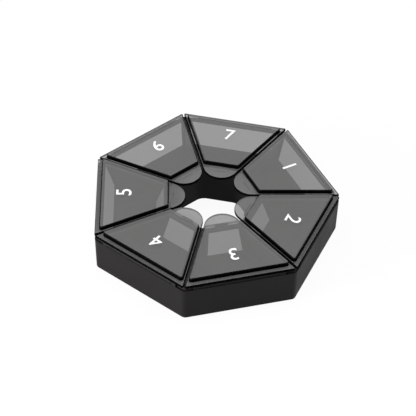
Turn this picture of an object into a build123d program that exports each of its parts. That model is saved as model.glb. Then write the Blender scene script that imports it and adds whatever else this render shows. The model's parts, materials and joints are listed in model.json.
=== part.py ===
from build123d import *
from math import cos, radians, sin, tan
import os

# Weekly pill box: a seven-sided ring tray with seven cups round an open centre.
# Millimetres, +Z up. The origin is on the centre hole's axis, on the table.
# +X points at the corner between lid 1 and lid 2, and the lids run clockwise.

# Overall form
COMPARTMENTS = 7
CORNER_REACH = 58.4          # axis to a sharp outer corner, at the lids' level
LID_LEVEL = 20.6             # table to the top of the lids' flanges
WALL_DRAFT = 1.0             # degrees, each outer wall leans in towards the table
CORNER_ROUND = 3.0           # upright outer corners
FOOT_CHAMFER = 0.4           # outer bottom edge

# Tray
SKIRT_WALL = 1.8             # outer and inner skirts
DIVIDER_WALL = 2.0           # between two cups at the rim
CUP_WALL = 1.8               # floor and end walls of a cup
CUP_DEPTH = 10.6             # rim to the floor of a cup
CUP_INNER_MARGIN = 3.7       # wall of the centre hole to a cup's mouth
CUP_OUTER_MARGIN = 3.6       # outer edge of the lids to a cup's mouth
CUP_INNER_LEAN = 3.5         # mouth to floor, how far the inner end wall slopes
CUP_OUTER_LEAN = 3.9         # mouth to floor, how far the outer end wall slopes
CUP_SIDE_DRAFT = 2.0         # degrees, the dividers thicken downwards
CUP_INNER_ROUND = 4.5        # corners beside the hole
CUP_OUTER_ROUND = 0.8        # corners beside the outer wall
HOLE_REACH = 18.3            # axis to a flat of the centre hole
HOLE_ROUND = 6.0             # upright corners of the centre hole
HOLE_EDGE_CHAMFER = 0.4      # top edge of the centre hole
CORE_CREST = 14.3            # table to the top of the hollows behind the end walls

# Lids
FLANGE_THICK = 1.2
LID_SKIN = 1.2               # raised panel's top and sides
PANEL_RISE = 2.0             # flange to the top of the raised panel
PANEL_INNER_MARGIN = 1.35    # wall of the centre hole to the panel's foot
PANEL_OUTER_MARGIN = 1.95    # flange edge to the panel's foot at the outer end
PANEL_SIDE_MARGIN = 0.65     # flange edge to the panel's foot at the sides
PANEL_DRAFT = 8.0            # degrees, the panel's sides lean in upwards
PANEL_CORNER_ROUND = 1.2
PANEL_EDGE_CHAMFER = 0.3
FLANGE_CORNER_CUT = 0.5      # takes the points off the flange's two outer corners
FLANGE_EDGE_CHAMFER = 0.25
LID_GAP = 0.9                # between the flanges of two neighbouring lids
TAB_OVERHANG = 6.3           # a finger tab reaches this far over the centre hole
RIM_CLEAR = 0.2              # flange underside to the tray's rim

# Catch nib under each finger tab
NIB_WIDTH = 6.0
NIB_THICK = 0.8
NIB_DEPTH = 1.8
NIB_CLEAR = 0.15

# Hinges: a lid's barrel turns on a pin whose ends snap down into two saddles of the tray
PIN_RADIUS = 0.4
PIN_LENGTH = 39.0
PIN_RUNNING_CLEAR = 0.05     # radial, pin in the tray's saddles
PIN_END_CLEAR = 0.2
LEDGE_DROP = 0.85            # middle of a pin down to the ledge that its saddles stand on
SADDLE_WALL = 0.4            # plastic round the pin in a saddle
SADDLE_END_WALL = 0.8        # closes each saddle past the pin's end
SADDLE_SHOULDER = 0.35       # cut off the saddle's top edges, inside the sweep of the lid
SADDLE_THROAT = 0.68         # mouth of the saddle, narrower than the pin, so that it snaps in
BARREL_WALL = 0.5            # plastic round the pin in the lid's barrel
BARREL_LENGTH = 36.0
BARREL_CLEAR = 0.15          # barrel to its channel and to the saddles
BARREL_SETBACK = 0.1         # edge of the lid to the barrel's outside
SWING_CLEAR = 0.15           # flange underside to the outer wall, with the lid folded back

# Sizes worked out from those above
PITCH = 360.0 / COMPARTMENTS
HALF_PITCH = radians(PITCH / 2)
LID_REACH = CORNER_REACH * cos(HALF_PITCH)
FLANGE_UNDER = LID_LEVEL - FLANGE_THICK
RIM_TOP = FLANGE_UNDER - RIM_CLEAR
CUP_FLOOR = RIM_TOP - CUP_DEPTH
CORE_ROOF = CUP_FLOOR - CUP_WALL
CUP_MOUTH_INNER = HOLE_REACH + CUP_INNER_MARGIN
CUP_FLOOR_INNER = CUP_MOUTH_INNER + CUP_INNER_LEAN
CUP_MOUTH_OUTER = LID_REACH - CUP_OUTER_MARGIN
CUP_FLOOR_OUTER = CUP_MOUTH_OUTER - CUP_OUTER_LEAN
DIVIDER_HALF = DIVIDER_WALL / 2
CUP_FLOOR_INSET = DIVIDER_HALF + CUP_DEPTH * tan(radians(CUP_SIDE_DRAFT))
BARREL_RADIUS = PIN_RADIUS + BARREL_WALL
SADDLE_HALF = PIN_RADIUS + PIN_RUNNING_CLEAR + SADDLE_WALL
CHANNEL_RADIUS = BARREL_RADIUS + BARREL_CLEAR
CHANNEL_HALF = BARREL_LENGTH / 2 + BARREL_CLEAR
BORE_HALF = PIN_LENGTH / 2 + PIN_END_CLEAR
HINGE_INSET = BARREL_RADIUS + BARREL_SETBACK
HINGE_REACH = LID_REACH - HINGE_INSET
HINGE_LEVEL = FLANGE_UNDER - HINGE_INSET - SWING_CLEAR
LEDGE_LEVEL = HINGE_LEVEL - LEDGE_DROP
LEDGE_REACH = LID_REACH - (LID_LEVEL - LEDGE_LEVEL) * tan(radians(WALL_DRAFT))
FOOT_REACH = LID_REACH - LID_LEVEL * tan(radians(WALL_DRAFT))
LID_INSET = LID_GAP / 2
PANEL_INSET = LID_INSET + PANEL_SIDE_MARGIN
PANEL_INNER = HOLE_REACH + PANEL_INNER_MARGIN
PANEL_OUTER = LID_REACH - PANEL_OUTER_MARGIN
TAB_TIP = HOLE_REACH - TAB_OVERHANG
LID_ANGLES = [PITCH / 2 - PITCH * number for number in range(COMPARTMENTS)]


def half_width(reach, inset):
    """Half of a compartment's width at a distance from the axis, inside an inset from its borders."""
    return reach * tan(HALF_PITCH) - inset / cos(HALF_PITCH)


def wedge(inner, outer, inset, inner_round=0.0, outer_round=0.0):
    """Draw the outline of the compartment along +X, a wedge cut off at both ends."""
    inner_half = half_width(inner, inset)
    outer_half = half_width(outer, inset)
    with BuildSketch() as outline:
        with BuildLine():
            Polyline(
                (inner, -inner_half),
                (outer, -outer_half),
                (outer, outer_half),
                (inner, inner_half),
                close=True,
            )
        make_face()
        if inner_round > 0:
            fillet(outline.vertices().group_by(Axis.X)[0], inner_round)
        if outer_round > 0:
            fillet(outline.vertices().group_by(Axis.X)[-1], outer_round)
    add(outline.sketch)


def seven_sides(reach, corner_round):
    """Draw the seven-sided outline whose flats lie at a distance from the axis."""
    with BuildSketch() as outline:
        RegularPolygon(radius=reach, side_count=COMPARTMENTS, major_radius=False)
        fillet(outline.vertices(), corner_round)
    add(outline.sketch)


def lid_outline():
    """Draw a lid's flange: a wedge that ends in a round finger tab touching both of its sides."""
    tab_middle = (TAB_TIP - LID_INSET) / (1 - sin(HALF_PITCH))
    tab_radius = tab_middle - TAB_TIP
    touch_reach = tab_middle - tab_radius * sin(HALF_PITCH)
    touch_half = tab_radius * cos(HALF_PITCH)
    outer_half = half_width(LID_REACH, LID_INSET)
    with BuildSketch() as outline:
        with BuildLine():
            Polyline(
                (touch_reach, -touch_half),
                (LID_REACH, -outer_half),
                (LID_REACH, outer_half),
                (touch_reach, touch_half),
            )
            ThreePointArc((touch_reach, touch_half), (TAB_TIP, 0), (touch_reach, -touch_half))
        make_face()
        chamfer(outline.vertices().group_by(Axis.X)[-1], FLANGE_CORNER_CUT)
    add(outline.sketch)


def hinge_plane(along):
    """Upright plane across a hinge pin: its middle at 0, 0, local X outwards and local Y up."""
    return Plane(origin=(HINGE_REACH, along, HINGE_LEVEL), x_dir=(1, 0, 0), z_dir=(0, -1, 0))


# Everything below is drawn in the compartment along +X, and then turned to its seven places.

# The cup, with sloping end walls that bring the pills up to the fingers
with BuildPart() as cup_space:
    with BuildSketch(Plane.XY.offset(CUP_FLOOR)):
        wedge(CUP_FLOOR_INNER, CUP_FLOOR_OUTER, CUP_FLOOR_INSET, CUP_INNER_ROUND, CUP_OUTER_ROUND)
    with BuildSketch(Plane.XY.offset(RIM_TOP)):
        wedge(CUP_MOUTH_INNER, CUP_MOUTH_OUTER, DIVIDER_HALF, CUP_INNER_ROUND, CUP_OUTER_ROUND)
    loft(ruled=True)

# The hollow below the cup: between the skirts, and up behind the two sloping end walls
with BuildPart() as core_space:
    with BuildSketch():
        wedge(HOLE_REACH + SKIRT_WALL, FOOT_REACH - SKIRT_WALL, DIVIDER_HALF)
    extrude(amount=CORE_ROOF)
    for floor_end, mouth_end, skirt in (
        (CUP_FLOOR_INNER - CUP_WALL, CUP_MOUTH_INNER - CUP_WALL, HOLE_REACH + SKIRT_WALL),
        (CUP_FLOOR_OUTER + CUP_WALL, CUP_MOUTH_OUTER + CUP_WALL, FOOT_REACH - SKIRT_WALL),
    ):
        slope = (mouth_end - floor_end) / CUP_DEPTH
        for level in (CORE_ROOF, CORE_CREST):
            wall = floor_end + slope * (level - CUP_FLOOR)
            with BuildSketch(Plane.XY.offset(level)):
                wedge(min(wall, skirt), max(wall, skirt), CUP_FLOOR_INSET)
        loft(ruled=True)

# Two saddles stand on the ledge and hold the ends of the pin
with BuildPart() as saddles:
    with BuildSketch(hinge_plane(0)) as saddle_end:
        with Locations((0, -LEDGE_DROP)):
            Rectangle(SADDLE_HALF * 2, LEDGE_DROP + SADDLE_HALF, align=(Align.CENTER, Align.MIN))
        chamfer(saddle_end.vertices().group_by(Axis.Y)[-1], SADDLE_SHOULDER)
    extrude(amount=BORE_HALF + SADDLE_END_WALL, both=True)

# What the hinge needs clear: a bore that is open upwards, and a channel for the lid's barrel
with BuildPart() as hinge_space:
    with BuildSketch(hinge_plane(0)):
        Circle(PIN_RADIUS + PIN_RUNNING_CLEAR)
        Rectangle(SADDLE_THROAT, RIM_TOP - HINGE_LEVEL, align=(Align.CENTER, Align.MIN))
    extrude(amount=BORE_HALF, both=True)
    with BuildSketch(hinge_plane(0)):
        Circle(CHANNEL_RADIUS)
        Rectangle(CHANNEL_RADIUS * 2, RIM_TOP - HINGE_LEVEL, align=(Align.CENTER, Align.MIN))
    extrude(amount=CHANNEL_HALF, both=True)

# Tray: one moulding, with outer and inner skirts, tapered cups and a hollow underside
with BuildPart() as base_tray:
    with BuildSketch(Plane.XY.offset(LEDGE_LEVEL)):
        seven_sides(LEDGE_REACH, CORNER_ROUND)
    extrude(amount=-LEDGE_LEVEL, taper=WALL_DRAFT)
    chamfer(base_tray.faces().sort_by(Axis.Z)[0].edges(), FOOT_CHAMFER)
    # The rim stands back to the line of the pins, so that a groove runs round below the lids
    with BuildSketch(Plane.XY.offset(LEDGE_LEVEL)):
        seven_sides(HINGE_REACH, CORNER_ROUND - HINGE_INSET)
    extrude(amount=RIM_TOP - LEDGE_LEVEL)
    with BuildSketch():
        seven_sides(HOLE_REACH, HOLE_ROUND)
    extrude(amount=RIM_TOP, mode=Mode.SUBTRACT)
    chamfer(base_tray.faces().sort_by(Axis.Z)[-1].inner_wires()[0].edges(), HOLE_EDGE_CHAMFER)
    with PolarLocations(0, COMPARTMENTS, start_angle=PITCH / 2):
        add(saddles.part)
        add(cup_space.part, mode=Mode.SUBTRACT)
        add(core_space.part, mode=Mode.SUBTRACT)
        add(hinge_space.part, mode=Mode.SUBTRACT)

# Lid: flange with finger tab, raised hollow panel, hinge barrel and catch nib
with BuildPart() as lid:
    with BuildSketch(Plane.XY.offset(FLANGE_UNDER)):
        lid_outline()
    extrude(amount=FLANGE_THICK)
    chamfer(lid.faces().sort_by(Axis.Z)[-1].edges(), FLANGE_EDGE_CHAMFER)
    with BuildSketch(Plane.XY.offset(LID_LEVEL)):
        wedge(PANEL_INNER, PANEL_OUTER, PANEL_INSET, PANEL_CORNER_ROUND, PANEL_CORNER_ROUND)
    extrude(amount=PANEL_RISE, taper=PANEL_DRAFT)
    chamfer(lid.faces().sort_by(Axis.Z)[-1].edges(), PANEL_EDGE_CHAMFER)
    # The underside is hollow, so that the panel is one even skin
    with BuildSketch(Plane.XY.offset(FLANGE_UNDER)):
        wedge(PANEL_INNER + LID_SKIN, PANEL_OUTER - LID_SKIN, PANEL_INSET + LID_SKIN)
    extrude(amount=FLANGE_THICK + PANEL_RISE - LID_SKIN, taper=PANEL_DRAFT, mode=Mode.SUBTRACT)
    # The barrel hangs from the flange by a web that clears the ledge as the lid swings
    with BuildSketch(hinge_plane(0)):
        Circle(BARREL_RADIUS)
        with Locations((-BARREL_RADIUS, 0)):
            Rectangle(
                BARREL_RADIUS + PIN_RADIUS,
                FLANGE_UNDER - HINGE_LEVEL + FLANGE_THICK / 2,
                align=(Align.MIN, Align.MIN),
            )
        Circle(PIN_RADIUS, mode=Mode.SUBTRACT)
    extrude(amount=BARREL_LENGTH / 2, both=True)
    # The nib drops inside the hole's wall and holds the lid shut
    with BuildSketch(Plane.XY.offset(FLANGE_UNDER)):
        with Locations((HOLE_REACH - NIB_CLEAR, 0)):
            Rectangle(NIB_THICK, NIB_WIDTH, align=(Align.MAX, Align.CENTER))
    extrude(amount=-NIB_DEPTH)

# Pin: a steel rod pressed through the barrel of its lid
with BuildPart() as hinge_pin:
    with BuildSketch(hinge_plane(0)):
        Circle(PIN_RADIUS)
    extrude(amount=PIN_LENGTH / 2, both=True)


def write_turned(piece, angle, label):
    """Turn a copy of a piece about the box's axis to its place, label it and write it."""
    with BuildPart() as turned:
        with Locations(Location((0, 0, 0), (0, 0, angle))):
            add(piece.part)
    turned.part.label = label
    export_step(turned.part, f"parts/{label}.step")


os.makedirs("parts", exist_ok=True)
base_tray.part.label = "base_tray"
export_step(base_tray.part, "parts/base_tray.step")
for number, lid_angle in enumerate(LID_ANGLES, start=1):
    write_turned(lid, lid_angle, f"lid_{number}")
    write_turned(hinge_pin, lid_angle, f"hinge_pin_{number}")
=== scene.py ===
# %% [markdown]
# # A weekly pill box: black tray, seven smoked lids
#
# The box is a ring with seven sides. Its tray is one black moulding with seven cups round
# an open centre, and each cup has its own smoked, see-through lid that opens outwards on a
# steel pin. The CAD model holds every shape that is moulded, so this lesson is about what
# the eye sees next: plastics, printed numerals, light, and a camera that matches a photograph.

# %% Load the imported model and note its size
import bpy
import json
import math
import numpy as np
from mathutils import Matrix, Vector


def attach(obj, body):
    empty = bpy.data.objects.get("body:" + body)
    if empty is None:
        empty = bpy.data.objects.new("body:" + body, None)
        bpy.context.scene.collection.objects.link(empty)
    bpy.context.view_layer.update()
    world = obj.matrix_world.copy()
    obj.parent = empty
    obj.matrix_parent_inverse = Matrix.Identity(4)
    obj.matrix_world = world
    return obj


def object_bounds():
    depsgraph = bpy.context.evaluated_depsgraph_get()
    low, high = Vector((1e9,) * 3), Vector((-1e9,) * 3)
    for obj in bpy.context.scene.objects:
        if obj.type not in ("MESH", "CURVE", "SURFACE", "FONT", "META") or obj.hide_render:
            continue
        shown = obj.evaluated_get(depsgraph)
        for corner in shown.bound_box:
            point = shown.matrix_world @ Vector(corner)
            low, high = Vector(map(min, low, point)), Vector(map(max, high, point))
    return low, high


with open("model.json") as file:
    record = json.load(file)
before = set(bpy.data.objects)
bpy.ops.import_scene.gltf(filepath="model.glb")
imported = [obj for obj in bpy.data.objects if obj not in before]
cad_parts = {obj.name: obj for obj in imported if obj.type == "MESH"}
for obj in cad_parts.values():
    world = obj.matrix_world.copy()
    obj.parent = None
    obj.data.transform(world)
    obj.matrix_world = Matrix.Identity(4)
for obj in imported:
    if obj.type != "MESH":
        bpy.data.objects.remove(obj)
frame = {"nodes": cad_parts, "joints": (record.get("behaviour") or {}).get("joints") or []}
CAD_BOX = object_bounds()
MM = 0.001
SIZE_MM = [(high - low) / MM for low, high in zip(*CAD_BOX)]
print("the box measures", " x ".join(f"{side:.1f}" for side in SIZE_MM), "mm")

# %% [markdown]
# Everything that is placed on a lid needs to know which way that lid faces. The model says
# so itself: each lid's hinge has a position, and a line from the box's middle through that
# position is the lid's own middle line. Reading it from the joints keeps the numerals on
# their lids if the hinges are moved.

# %% Find where each lid faces
lids = {}
for joint in frame["joints"]:
    number = int(joint["name"].rsplit("_", 1)[1])
    x, y, z = joint["pos_m"]
    lids[number] = {
        "body": joint["child"],
        "facing": math.atan2(y, x),
        "hinge_reach": math.hypot(x, y),
    }
for number, place in sorted(lids.items()):
    print(f"lid {number} faces {math.degrees(place['facing']):7.2f} degrees")

# %% [markdown]
# ## Colours and nodes
#
# A colour picker shows sRGB, which is bent towards what the eye notices. Light adds up only
# in linear numbers, so each hex value is straightened once, here, and never again. The
# second helper adds one shader node with its settings and links, which keeps each material
# below down to the few lines that say what is special about it.


# %% Helpers for colours and shader nodes
def linear(hex_colour):
    """Linear red, green, blue and alpha 1 of an sRGB hex value: each channel has its gamma undone."""
    channels = np.array([int(hex_colour[i : i + 2], 16) for i in (1, 3, 5)]) / 255
    low, high = channels / 12.92, ((channels + 0.055) / 1.055) ** 2.4
    return (*np.where(channels <= 0.04045, low, high), 1.0)


def add_node(tree, kind, inputs=None, **settings):
    """One node of a kind, with its settings; an input is the output of another node, or a plain value."""
    node = tree.nodes.new(kind)
    for name, value in settings.items():
        setattr(node, name, value)
    for name, value in (inputs or {}).items():
        if isinstance(value, bpy.types.NodeSocket):
            tree.links.new(value, node.inputs[name])
        else:
            node.inputs[name].default_value = value
    return node


def new_material(name):
    """An empty node material and its tree."""
    material = bpy.data.materials.new(name)
    material.use_nodes = True
    material.node_tree.nodes.clear()
    return material, material.node_tree


print("mid grey #808080 is", round(linear("#808080")[0], 3), "in linear light")

# %% [markdown]
# ## The tray: black ABS, injection moulded
#
# The tray is ABS, moulded in a spark-eroded tool. The tool leaves a very fine satin grain,
# so the plastic is neither a mirror nor chalk: it shows a soft, broad gloss. Two scales of
# noise make it. A fine one, drawn coarser than the real 0.05 mm grain, bumps the surface
# faintly. A broad one varies the roughness, as handling does.
#
# Through the lids, the sloping end walls of the cups read far paler than the black round
# them, and the photograph does not tell why. Here that light is painted on them: a paler
# grey base colour with a white glow on it. The glow is a stand-in for light caught between
# wall and lid: its strength was fitted to the photograph and is not physics. The walls are
# found by two facts: an end wall leans back between 12 and 30 degrees, and it looks straight
# along its cup's middle line. The cup that a point lies in comes from the point's angle round
# the box, in whole pitches. The walls that look towards the front read palest, so there the
# painted glow is strongest. It is there only while the lid is closed: a cup that lets no open
# air in within 60 mm is closed, which an ambient occlusion node measures, and the light must
# have crossed a lid. With its lid open the glow is gone and only the painted grey is left: a
# little greyer than the rest of the black plastic.
# The groove below the lids' flanges is painted as shade: there the tray loses its gloss and turns a flat
# dark grey.

# %% The tray's plastic
TRAY_BLACK = "#171515"
TRAY_SPECULAR = 0.25
TRAY_ROUGHNESS = (0.36, 0.46)
# Painted light on the cups' end walls: a paler grey base colour and the levels of a white glow.
END_WALL_PAINTED_GREY = "#505050"
INNER_PAINTED_GLOW, OUTER_PAINTED_GLOW = 0.44, 0.70
END_WALL_SLOPE = (math.sin(math.radians(12)), math.sin(math.radians(30)))
END_WALL_AIM = math.radians(5)
CUP_REACH = (21.5 * MM, 49.5 * MM)
CUP_MIDDLE = 35 * MM
OPEN_AIR_REACH = 60 * MM
CLOSED_TO_OPEN = (0.02, 0.20)
GROOVE_REACH, GROOVE_LEVEL = 49.6 * MM, 17.45 * MM
# Painted shade in the groove below the flanges: a flat grey without gloss. The hinge barrels are painted
# the same grey.
GROOVE_PAINTED_GREY = "#2d2d2d"
PITCH = 2 * math.pi / len(lids)
AWAY_FROM_FRONT = 0.5
GRAIN_PER_M = 1 / (0.35 * MM)
GRAIN_BUMP, GRAIN_DEPTH = 0.04, 0.05 * MM
HANDLING_PER_M = 1 / (14 * MM)
NOISE_SPAN = (0.3, 0.7)
ABS_IOR = 1.54


def between(tree, value, low, high):
    """1 where a value lies between two bounds and 0 elsewhere: one step up times one step down."""
    above = add_node(tree, "ShaderNodeMath", {0: value, 1: low}, operation="GREATER_THAN").outputs[0]
    below = add_node(tree, "ShaderNodeMath", {0: value, 1: high}, operation="LESS_THAN").outputs[0]
    return add_node(tree, "ShaderNodeMath", {0: above, 1: below}, operation="MULTIPLY").outputs[0]


def reach_of(tree, place):
    """Distance of a point from the box's axis: the length of its x and y."""
    flat = add_node(tree, "ShaderNodeCombineXYZ", {"X": place["X"], "Y": place["Y"]}).outputs[0]
    return add_node(tree, "ShaderNodeVectorMath", {0: flat}, operation="LENGTH").outputs["Value"]


def cup_of(tree, place):
    """The angle at which a point's own cup faces, and how far out along that cup's middle line it lies."""
    angle = add_node(
        tree, "ShaderNodeMath", {0: place["Y"], 1: place["X"]}, operation="ARCTAN2"
    ).outputs[0]
    pitches = add_node(tree, "ShaderNodeMath", {0: angle, 1: PITCH}, operation="DIVIDE").outputs[0]
    whole = add_node(tree, "ShaderNodeMath", {0: pitches}, operation="FLOOR").outputs[0]
    facing = add_node(
        tree, "ShaderNodeMath", {0: whole, 1: PITCH, 2: PITCH / 2}, operation="MULTIPLY_ADD"
    ).outputs[0]
    aside = add_node(tree, "ShaderNodeMath", {0: angle, 1: facing}, operation="SUBTRACT").outputs[0]
    share = add_node(tree, "ShaderNodeMath", {0: aside}, operation="COSINE").outputs[0]
    along = add_node(
        tree, "ShaderNodeMath", {0: reach_of(tree, place), 1: share}, operation="MULTIPLY"
    ).outputs[0]
    return facing, along


def end_wall_mask(tree, normal, facing, along):
    """1 on the cups' end walls: the right slope, aimed along the cup's middle line, within its length."""
    looks = add_node(
        tree, "ShaderNodeMath", {0: normal["Y"], 1: normal["X"]}, operation="ARCTAN2"
    ).outputs[0]
    turn = add_node(tree, "ShaderNodeMath", {0: looks, 1: facing}, operation="SUBTRACT").outputs[0]
    aim = add_node(tree, "ShaderNodeMath", {0: turn}, operation="COSINE").outputs[0]
    aim = add_node(tree, "ShaderNodeMath", {0: aim}, operation="ABSOLUTE").outputs[0]
    aimed = add_node(
        tree, "ShaderNodeMath", {0: aim, 1: math.cos(END_WALL_AIM)}, operation="GREATER_THAN"
    ).outputs[0]
    sloped = between(tree, normal["Z"], *END_WALL_SLOPE)
    both = add_node(tree, "ShaderNodeMath", {0: aimed, 1: sloped}, operation="MULTIPLY").outputs[0]
    in_cup = between(tree, along, *CUP_REACH)
    return add_node(tree, "ShaderNodeMath", {0: both, 1: in_cup}, operation="MULTIPLY").outputs[0]


def end_wall_glow(tree, normal, along):
    """Painted light on a closed cup's ends, as a glow: a level for the inner and one for the outer, weaker
    off the front.
    """
    outer = add_node(
        tree, "ShaderNodeMath", {0: along, 1: CUP_MIDDLE}, operation="GREATER_THAN"
    ).outputs[0]
    level = add_node(
        tree, "ShaderNodeMapRange", {"Value": outer, "To Min": INNER_PAINTED_GLOW, "To Max": OUTER_PAINTED_GLOW}
    ).outputs["Result"]
    front = add_node(
        tree, "ShaderNodeMapRange",
        {"Value": normal["Y"], "From Min": -1.0, "From Max": 0.0, "To Min": 1.0, "To Max": AWAY_FROM_FRONT},
    ).outputs["Result"]
    toned = add_node(tree, "ShaderNodeMath", {0: level, 1: front}, operation="MULTIPLY").outputs[0]
    lids_crossed = add_node(tree, "ShaderNodeLightPath").outputs["Transparent Depth"]
    through_lid = add_node(
        tree, "ShaderNodeMath", {0: lids_crossed, 1: 0.5}, operation="GREATER_THAN"
    ).outputs[0]
    open_air = add_node(
        tree, "ShaderNodeAmbientOcclusion", {"Distance": OPEN_AIR_REACH}, samples=8
    ).outputs["AO"]
    closed = add_node(
        tree, "ShaderNodeMapRange",
        {
            "Value": open_air, "From Min": CLOSED_TO_OPEN[0], "From Max": CLOSED_TO_OPEN[1],
            "To Min": 1.0, "To Max": 0.0,
        },
    ).outputs["Result"]
    lit = add_node(tree, "ShaderNodeMath", {0: through_lid, 1: closed}, operation="MULTIPLY").outputs[0]
    return add_node(tree, "ShaderNodeMath", {0: toned, 1: lit}, operation="MULTIPLY").outputs[0]


def make_tray_plastic():
    """Black moulded ABS: satin grain as a bump, handling as roughness, painted light on the cups' end
    walls, painted shade in the groove.
    """
    material, tree = new_material("abs_black_moulded")
    where = add_node(tree, "ShaderNodeTexCoord").outputs
    place = add_node(tree, "ShaderNodeSeparateXYZ", {0: where["Object"]}).outputs
    normal = add_node(tree, "ShaderNodeSeparateXYZ", {0: where["Normal"]}).outputs
    grain = add_node(
        tree, "ShaderNodeTexNoise", {"Vector": where["Object"], "Scale": GRAIN_PER_M, "Detail": 2.0}
    ).outputs["Fac"]
    handling = add_node(
        tree, "ShaderNodeTexNoise", {"Vector": where["Object"], "Scale": HANDLING_PER_M, "Detail": 3.0}
    ).outputs["Fac"]
    roughness = add_node(
        tree, "ShaderNodeMapRange",
        {
            "Value": handling, "From Min": NOISE_SPAN[0], "From Max": NOISE_SPAN[1],
            "To Min": TRAY_ROUGHNESS[0], "To Max": TRAY_ROUGHNESS[1],
        },
    )
    facing, along = cup_of(tree, place)
    end_wall = end_wall_mask(tree, normal, facing, along)
    # Painted light on the end walls: a paler grey base colour here, and a white glow below.
    cup_colour_with_painted_light = add_node(
        tree, "ShaderNodeMix",
        {0: end_wall, 6: linear(TRAY_BLACK), 7: linear(END_WALL_PAINTED_GREY)}, data_type="RGBA",
    )
    strength = add_node(
        tree, "ShaderNodeMath", {0: end_wall, 1: end_wall_glow(tree, normal, along)}, operation="MULTIPLY"
    ).outputs[0]
    glow = add_node(
        tree, "ShaderNodeMix", {0: strength, 6: (0, 0, 0, 1), 7: (1, 1, 1, 1)}, data_type="RGBA"
    )
    # Painted shade: in the groove below the flanges the gloss goes and the colour turns a flat dark grey.
    outside = add_node(
        tree, "ShaderNodeMath", {0: along, 1: GROOVE_REACH}, operation="GREATER_THAN"
    ).outputs[0]
    high = add_node(
        tree, "ShaderNodeMath", {0: place["Z"], 1: GROOVE_LEVEL}, operation="GREATER_THAN"
    ).outputs[0]
    groove_shade = add_node(tree, "ShaderNodeMath", {0: outside, 1: high}, operation="MULTIPLY").outputs[0]
    specular = add_node(
        tree, "ShaderNodeMapRange", {"Value": groove_shade, "To Min": TRAY_SPECULAR, "To Max": 0.0}
    )
    colour = add_node(
        tree, "ShaderNodeMix",
        {0: groove_shade, 6: cup_colour_with_painted_light.outputs[2], 7: linear(GROOVE_PAINTED_GREY)}, data_type="RGBA",
    )
    bump = add_node(
        tree, "ShaderNodeBump", {"Height": grain, "Strength": GRAIN_BUMP, "Distance": GRAIN_DEPTH}
    )
    shader = add_node(
        tree, "ShaderNodeBsdfPrincipled",
        {
            "Base Color": colour.outputs[2],
            "Roughness": roughness.outputs["Result"],
            "IOR": ABS_IOR,
            "Specular IOR Level": specular.outputs["Result"],
            "Normal": bump.outputs["Normal"],
            "Emission Color": glow.outputs[2],
            "Emission Strength": 1.0,
        },
    )
    add_node(tree, "ShaderNodeOutputMaterial", {"Surface": shader.outputs["BSDF"]})
    return material


tray_plastic = make_tray_plastic()
print(tray_plastic.name, "has", len(tray_plastic.node_tree.nodes), "nodes")

# %% [markdown]
# ## The lids: smoked SAN, polished
#
# The lids are styrene-acrylonitrile with a grey dye. They are moulded in a polished tool, so
# the top is smooth, but the dye scatters some light: over a black floor they still look mid
# grey. Real glass nodes would need refraction through every wall. A see-through skin with a
# little grey in it shows the same thing, costs little and exports as alpha.
#
# Looked at along its own wall the plastic is far thicker, and the dye turns it black. So the
# outer faces that stand up, which are the sides of the raised panel and the edge of the
# flange, are near black, almost solid and without gloss. Part of that black is painted shade:
# it stands in for the shadowed gaps between the lids and under their flanges. The hinge
# barrel, which is thick all through, is almost solid too, and is painted the flat grey of the
# tray's groove.
# The hollow's walls lean the other way, face slightly down, and stay as clear as the skin.
# The finger tabs hang over the open hole, and light from below is painted on them: their grey is a little
# paler and a little more solid.

# %% The lids' plastic
SMOKE_GREY = "#747473"
# Near black of edge-on faces: the dye seen edge-on, and partly painted shade in the gaps between lids and
# under the flanges.
SMOKE_EDGE_AND_SHADE = "#050505"
SMOKE_ALPHA = 0.5
EDGE_ALPHA = 0.98
# Painted light from below on the tabs over the hole: a paler grey, a little more solid.
TAB_PAINTED_LIGHT_GREY = "#818180"
TAB_ALPHA = 0.565
TAB_REACH = 19.6 * MM
OUTWARD = (-0.12, -0.04)
LEVEL = (0.75, 0.90)
BARREL_REACH = 48.0 * MM
BARREL_TOP = 19.3 * MM
RIPPLE_PER_M = 1 / (9 * MM)
RIPPLE_BUMP, RIPPLE_DEPTH = 0.04, 0.1 * MM
LID_ROUGHNESS = (0.16, 0.24)
LID_SPECULAR = 0.5
EDGE_SPECULAR = 0.0
SAN_IOR = 1.57


def barrel_mask(tree, place, reach):
    """1 on a hinge barrel: far out and below the flange."""
    outer = add_node(
        tree, "ShaderNodeMath", {0: reach, 1: BARREL_REACH}, operation="GREATER_THAN"
    ).outputs[0]
    below = add_node(
        tree, "ShaderNodeMath", {0: place["Z"], 1: BARREL_TOP}, operation="LESS_THAN"
    ).outputs[0]
    return add_node(tree, "ShaderNodeMath", {0: outer, 1: below}, operation="MULTIPLY").outputs[0]


def standing_mask(tree, normal):
    """1 on outer faces that stand up, where the plastic is seen edge-on: neither level nor facing down."""
    outward = add_node(
        tree, "ShaderNodeMapRange", {"Value": normal["Z"], "From Min": OUTWARD[0], "From Max": OUTWARD[1]}
    ).outputs["Result"]
    level = add_node(
        tree, "ShaderNodeMapRange", {"Value": normal["Z"], "From Min": LEVEL[0], "From Max": LEVEL[1]}
    ).outputs["Result"]
    return add_node(tree, "ShaderNodeMath", {0: outward, 1: level}, operation="SUBTRACT").outputs[0]


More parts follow.
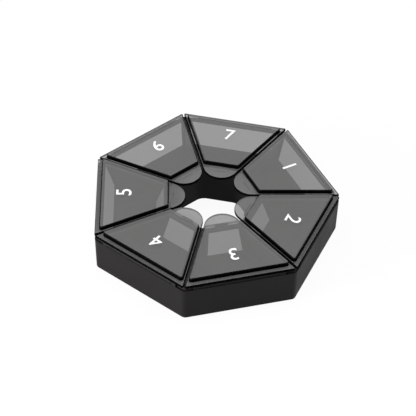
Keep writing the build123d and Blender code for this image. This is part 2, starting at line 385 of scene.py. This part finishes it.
def make_lid_plastic():
    """Smoked SAN: clear grey on level faces, near black and almost solid edge-on, partly as painted shade,
    painted light on the tabs, faint ripple.
    """
    material, tree = new_material("san_smoked_polished")
    where = add_node(tree, "ShaderNodeTexCoord").outputs
    place = add_node(tree, "ShaderNodeSeparateXYZ", {0: where["Object"]}).outputs
    normal = add_node(tree, "ShaderNodeSeparateXYZ", {0: where["Normal"]}).outputs
    reach = reach_of(tree, place)
    barrel = barrel_mask(tree, place, reach)
    # Edge-on faces and barrels: almost solid and without gloss. Their dark is partly painted shade.
    edge_on_and_shade = add_node(
        tree, "ShaderNodeMath", {0: standing_mask(tree, normal), 1: barrel}, operation="MAXIMUM"
    ).outputs[0]
    # Painted light on the tabs over the hole: their own paler grey and alpha.
    tab = add_node(tree, "ShaderNodeMath", {0: reach, 1: TAB_REACH}, operation="LESS_THAN").outputs[0]
    skin_and_tab_light = add_node(
        tree, "ShaderNodeMix", {0: tab, 6: linear(SMOKE_GREY), 7: linear(TAB_PAINTED_LIGHT_GREY)}, data_type="RGBA"
    )
    solid = add_node(
        # The barrel takes the groove's flat painted grey. The other edge-on faces take the near black of
        # dye and painted shade.
        tree, "ShaderNodeMix", {0: barrel, 6: linear(SMOKE_EDGE_AND_SHADE), 7: linear(GROOVE_PAINTED_GREY)}, data_type="RGBA"
    )
    colour = add_node(
        tree, "ShaderNodeMix", {0: edge_on_and_shade, 6: skin_and_tab_light.outputs[2], 7: solid.outputs[2]}, data_type="RGBA"
    )
    skin_alpha = add_node(
        tree, "ShaderNodeMapRange", {"Value": tab, "To Min": SMOKE_ALPHA, "To Max": TAB_ALPHA}
    )
    alpha = add_node(
        tree, "ShaderNodeMapRange",
        {"Value": edge_on_and_shade, "To Min": skin_alpha.outputs["Result"], "To Max": EDGE_ALPHA},
    )
    specular = add_node(
        tree, "ShaderNodeMapRange", {"Value": edge_on_and_shade, "To Min": LID_SPECULAR, "To Max": EDGE_SPECULAR}
    )
    ripple = add_node(
        tree, "ShaderNodeTexNoise", {"Vector": where["Object"], "Scale": RIPPLE_PER_M, "Detail": 1.0}
    ).outputs["Fac"]
    roughness = add_node(
        tree, "ShaderNodeMapRange",
        {
            "Value": ripple, "From Min": NOISE_SPAN[0], "From Max": NOISE_SPAN[1],
            "To Min": LID_ROUGHNESS[0], "To Max": LID_ROUGHNESS[1],
        },
    )
    bump = add_node(
        tree, "ShaderNodeBump", {"Height": ripple, "Strength": RIPPLE_BUMP, "Distance": RIPPLE_DEPTH}
    )
    shader = add_node(
        tree, "ShaderNodeBsdfPrincipled",
        {
            "Base Color": colour.outputs[2],
            "Roughness": roughness.outputs["Result"],
            "IOR": SAN_IOR,
            "Specular IOR Level": specular.outputs["Result"],
            "Normal": bump.outputs["Normal"],
            "Alpha": alpha.outputs["Result"],
        },
    )
    add_node(tree, "ShaderNodeOutputMaterial", {"Surface": shader.outputs["BSDF"]})
    return material


lid_plastic = make_lid_plastic()
print(lid_plastic.name, "lets", round((1 - SMOKE_ALPHA) ** 2, 2), "of the light through both of its faces")

# %% [markdown]
# ## The pins: drawn steel wire
#
# Only the ends of a pin show, and only while a lid is open. Wire is drawn through a die,
# which leaves fine marks on it, so a fine noise varies its gloss.

# %% The pins' steel
WIRE_STEEL = "#b9bbbd"
MARKS_PER_M = 1 / (0.6 * MM)
WIRE_ROUGHNESS = (0.22, 0.40)


def make_pin_steel():
    """Drawn steel wire: a metal whose roughness varies in fine marks left by the die."""
    material, tree = new_material("steel_drawn_wire")
    where = add_node(tree, "ShaderNodeTexCoord").outputs
    marks = add_node(
        tree, "ShaderNodeTexNoise", {"Vector": where["Object"], "Scale": MARKS_PER_M, "Detail": 3.0}
    ).outputs["Fac"]
    roughness = add_node(
        tree, "ShaderNodeMapRange",
        {"Value": marks, "To Min": WIRE_ROUGHNESS[0], "To Max": WIRE_ROUGHNESS[1]},
    )
    shader = add_node(
        tree, "ShaderNodeBsdfPrincipled",
        {"Base Color": linear(WIRE_STEEL), "Metallic": 1.0, "Roughness": roughness.outputs["Result"]},
    )
    add_node(tree, "ShaderNodeOutputMaterial", {"Surface": shader.outputs["BSDF"]})
    return material


pin_steel = make_pin_steel()
print(pin_steel.name, "is for", len(lids), "pins")

# %% Give every CAD node its finish
for name, node in frame["nodes"].items():
    finish = {"base": tray_plastic, "lid": lid_plastic, "hinge": pin_steel}[name.split("_")[0]]
    node.data.materials.clear()
    node.data.materials.append(finish)
print(len(frame["nodes"]), "nodes have a finish")

# %% [markdown]
# ## The numerals: white pad-printed ink
#
# A day's mark is pad printed on the lid in opaque white ink. Such ink stands about 0.03 mm
# proud, so each numeral is a thin solid that starts on the panel and rises by that much.
# The tops of the numerals point outwards. Text is turned into a mesh first, and then moved
# to its lid inside the mesh, so that the object itself stays at the origin.

# %% The ink
INK_WHITE = "#ffffff"
MOTTLE_PER_M = 1 / (0.4 * MM)
INK_ROUGHNESS = (0.5, 0.7)
INK_IOR = 1.5


def make_ink():
    """Opaque white ink: matt, with a fine mottle where the pad left a little less of it."""
    material, tree = new_material("ink_white_pad_printed")
    where = add_node(tree, "ShaderNodeTexCoord").outputs
    mottle = add_node(
        tree, "ShaderNodeTexNoise", {"Vector": where["Object"], "Scale": MOTTLE_PER_M, "Detail": 2.0}
    ).outputs["Fac"]
    roughness = add_node(
        tree, "ShaderNodeMapRange",
        {"Value": mottle, "To Min": INK_ROUGHNESS[0], "To Max": INK_ROUGHNESS[1]},
    )
    shader = add_node(
        tree, "ShaderNodeBsdfPrincipled",
        {"Base Color": linear(INK_WHITE), "Roughness": roughness.outputs["Result"], "IOR": INK_IOR},
    )
    add_node(tree, "ShaderNodeOutputMaterial", {"Surface": shader.outputs["BSDF"]})
    return material


ink = make_ink()
print(ink.name, "has a linear white of", round(linear(INK_WHITE)[0], 2))

# %% The seven numerals
NUMERAL_HEIGHT = 7.2 * MM
NUMERAL_STROKE = 0.006
NUMERAL_REACH = 40.0 * MM
INK_THICK = 0.03 * MM
PANEL_TOP = CAD_BOX[1][2]
FONT_CAP_HEIGHT = 0.729


def make_numeral(number, place):
    """A numeral on its lid: cap height NUMERAL_HEIGHT, middle at NUMERAL_REACH, top pointing outwards."""
    text = bpy.data.curves.new(f"numeral_{number}_text", "FONT")
    text.body = str(number)
    text.size = NUMERAL_HEIGHT / FONT_CAP_HEIGHT
    text.align_x, text.align_y = "CENTER", "CENTER"
    text.offset = NUMERAL_STROKE * text.size
    text.extrude = INK_THICK / 2
    maker = bpy.data.objects.new(text.name, text)
    bpy.context.scene.collection.objects.link(maker)
    depsgraph = bpy.context.evaluated_depsgraph_get()
    mesh = bpy.data.meshes.new_from_object(maker.evaluated_get(depsgraph))
    bpy.data.objects.remove(maker)
    points = np.zeros(len(mesh.vertices) * 3)
    mesh.vertices.foreach_get("co", points)
    points = points.reshape(-1, 3)
    points[:, :2] -= (points[:, :2].min(0) + points[:, :2].max(0)) / 2
    upright = Matrix.Rotation(place["facing"] - math.pi / 2, 4, "Z")
    middle = Vector((math.cos(place["facing"]), math.sin(place["facing"]), 0)) * NUMERAL_REACH
    middle.z = PANEL_TOP + INK_THICK / 2
    points = points @ np.array(upright.to_3x3()).T + np.array(middle)
    mesh.vertices.foreach_set("co", points.ravel())
    mesh.materials.clear()
    mesh.materials.append(ink)
    piece = bpy.data.objects.new(f"numeral_{number}", mesh)
    bpy.context.scene.collection.objects.link(piece)
    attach(piece, place["body"])
    return piece


numerals = [make_numeral(number, place) for number, place in sorted(lids.items())]
print("numerals made:", [len(piece.data.vertices) for piece in numerals], "points each")

# %% [markdown]
# ## The ground and the light
#
# The box stands on plain white. The floor is a wide disc under it, and the world behind is
# white to the camera, so that the two meet without a line. The light is a broad soft lamp
# overhead and one to each side. The sides matter for a black box: they are what draws its
# two flanks paler than its front. They stand low, so from the far side each would lie as
# white glare on the lids and hide the numerals. They are therefore kept out of reflections.

# %% The floor and the white surround
FLOOR_REACH = 1.6
FLOOR_SIDES = 96
WHITE = "#ffffff"
FLOOR_GATHERED = "#8c8c8c"
FLOOR_GLOSS = 0.25
SHADOW_DEPTH = 0.06
SURROUND_GREY = "#969696"


def white_share(tree, gloss):
    """1 for a ray from the camera or through a clear wall, a share for one off a gloss, 0 for others."""
    path = add_node(tree, "ShaderNodeLightPath").outputs
    direct = add_node(
        tree, "ShaderNodeMath",
        {0: path["Is Camera Ray"], 1: path["Is Transmission Ray"]}, operation="MAXIMUM",
    ).outputs[0]
    glossy = add_node(
        tree, "ShaderNodeMath", {0: path["Is Glossy Ray"], 1: gloss}, operation="MULTIPLY"
    ).outputs[0]
    return add_node(tree, "ShaderNodeMath", {0: direct, 1: glossy}, operation="MAXIMUM").outputs[0]


def make_floor():
    """A flat disc of many sides on the table plane, as points round a circle."""
    turn = np.linspace(0, 2 * math.pi, FLOOR_SIDES, endpoint=False)
    points = np.stack([np.cos(turn), np.sin(turn), np.zeros_like(turn)], 1) * FLOOR_REACH
    mesh = bpy.data.meshes.new("floor")
    mesh.from_pydata(points.tolist(), [], [list(range(len(points)))])
    floor = bpy.data.objects.new("floor", mesh)
    bpy.context.scene.collection.objects.link(floor)
    material, tree = new_material("paper_white")
    glow = add_node(tree, "ShaderNodeEmission", {"Color": linear(WHITE)}).outputs[0]
    shaded = add_node(tree, "ShaderNodeBsdfDiffuse", {"Color": linear(WHITE)}).outputs[0]
    seen = add_node(tree, "ShaderNodeMixShader", {0: SHADOW_DEPTH, 1: glow, 2: shaded}).outputs[0]
    gathered = add_node(tree, "ShaderNodeBsdfDiffuse", {"Color": linear(FLOOR_GATHERED)}).outputs[0]
    paper = add_node(
        tree, "ShaderNodeMixShader", {0: white_share(tree, FLOOR_GLOSS), 1: gathered, 2: seen}
    )
    add_node(tree, "ShaderNodeOutputMaterial", {"Surface": paper.outputs[0]})
    mesh.materials.append(material)
    return floor


floor = make_floor()
world = bpy.data.worlds.new("surround")
bpy.context.scene.world = world
world.use_nodes = True
world.node_tree.nodes.clear()
surround_colour = add_node(
    world.node_tree, "ShaderNodeMix",
    {0: white_share(world.node_tree, 1.0), 6: linear(SURROUND_GREY), 7: linear(WHITE)}, data_type="RGBA",
)
surround = add_node(world.node_tree, "ShaderNodeBackground", {"Color": surround_colour.outputs[2]})
add_node(world.node_tree, "ShaderNodeOutputWorld", {"Surface": surround.outputs[0]})
print("the floor is", 2 * FLOOR_REACH, "m across")

# %% The lamps
LAMPS = {
    "overhead": {
        "azimuth": 90, "elevation": 80, "distance": 1.0,
        "size": 0.9, "watts": 4.5, "mirrored": True,
    },
    "left": {
        "azimuth": -160, "elevation": 9, "distance": 0.8,
        "size": 0.45, "watts": 15.5, "mirrored": False,
    },
    "right": {
        "azimuth": 10, "elevation": 9, "distance": 0.8,
        "size": 0.45, "watts": 5.8, "mirrored": False,
    },
}


def make_lamp(name, azimuth, elevation, distance, size, watts, mirrored):
    """A square soft lamp, placed by azimuth from +X and elevation; one not mirrored gives no glare."""
    around, above = math.radians(azimuth), math.radians(elevation)
    light = bpy.data.lights.new(name, "AREA")
    light.shape, light.size, light.energy = "SQUARE", size, watts
    lamp = bpy.data.objects.new(name, light)
    away = Vector((math.cos(above) * math.cos(around), math.cos(above) * math.sin(around), math.sin(above)))
    lamp.location = away * distance
    lamp.rotation_euler = away.to_track_quat("Z", "Y").to_euler()
    lamp.visible_glossy = mirrored
    bpy.context.scene.collection.objects.link(lamp)
    return lamp


lamps = [make_lamp(name, **values) for name, values in LAMPS.items()]
print("lamps:", ", ".join(f"{lamp.name} {lamp.data.energy:.1f} W" for lamp in lamps))

# %% [markdown]
# ## The camera
#
# The photograph was taken from far off with a long lens, which is why the seven sides hardly
# narrow towards the back. The corners of the box were measured in the photograph, and a
# camera was fitted to them: it looks down by 44 degrees, leans by one, and stands 0.76 m off.

# %% The camera
CAMERA_AZIMUTH = -1.48
CAMERA_ELEVATION = 44.47
CAMERA_ROLL = 1.04
CAMERA_DISTANCE = 761.97 * MM
LENS_MM = 144.92
SENSOR_MM = 36.0
VIEW_SHIFT_RIGHT = 1.82 * MM
VIEW_SHIFT_UP = 5.75 * MM
LID_LEVEL = 20.6 * MM


def make_camera():
    """A camera that holds the middle of the lids' level at a fixed place in its own space."""
    around, above, roll = (math.radians(v) for v in (CAMERA_AZIMUTH, CAMERA_ELEVATION, CAMERA_ROLL))
    level = math.cos(above)
    back = Vector((math.sin(around) * level, -math.cos(around) * level, math.sin(above)))
    level_right = Vector((math.cos(around), math.sin(around), 0))
    level_up = back.cross(level_right)
    right = level_right * math.cos(roll) + level_up * math.sin(roll)
    up = level_up * math.cos(roll) - level_right * math.sin(roll)
    turn = Matrix((right, up, back)).transposed()
    seen_at = Vector((VIEW_SHIFT_RIGHT, VIEW_SHIFT_UP, -CAMERA_DISTANCE))
    data = bpy.data.cameras.new("camera")
    data.lens, data.sensor_width = LENS_MM, SENSOR_MM
    camera = bpy.data.objects.new("camera", data)
    camera.matrix_world = Matrix.Translation(Vector((0, 0, LID_LEVEL)) - turn @ seen_at) @ turn.to_4x4()
    bpy.context.scene.collection.objects.link(camera)
    bpy.context.scene.camera = camera
    return camera


camera = make_camera()
bpy.context.scene.view_settings.view_transform = "Standard"
print("the camera stands at", [round(v / MM, 1) for v in camera.matrix_world.translation], "mm")
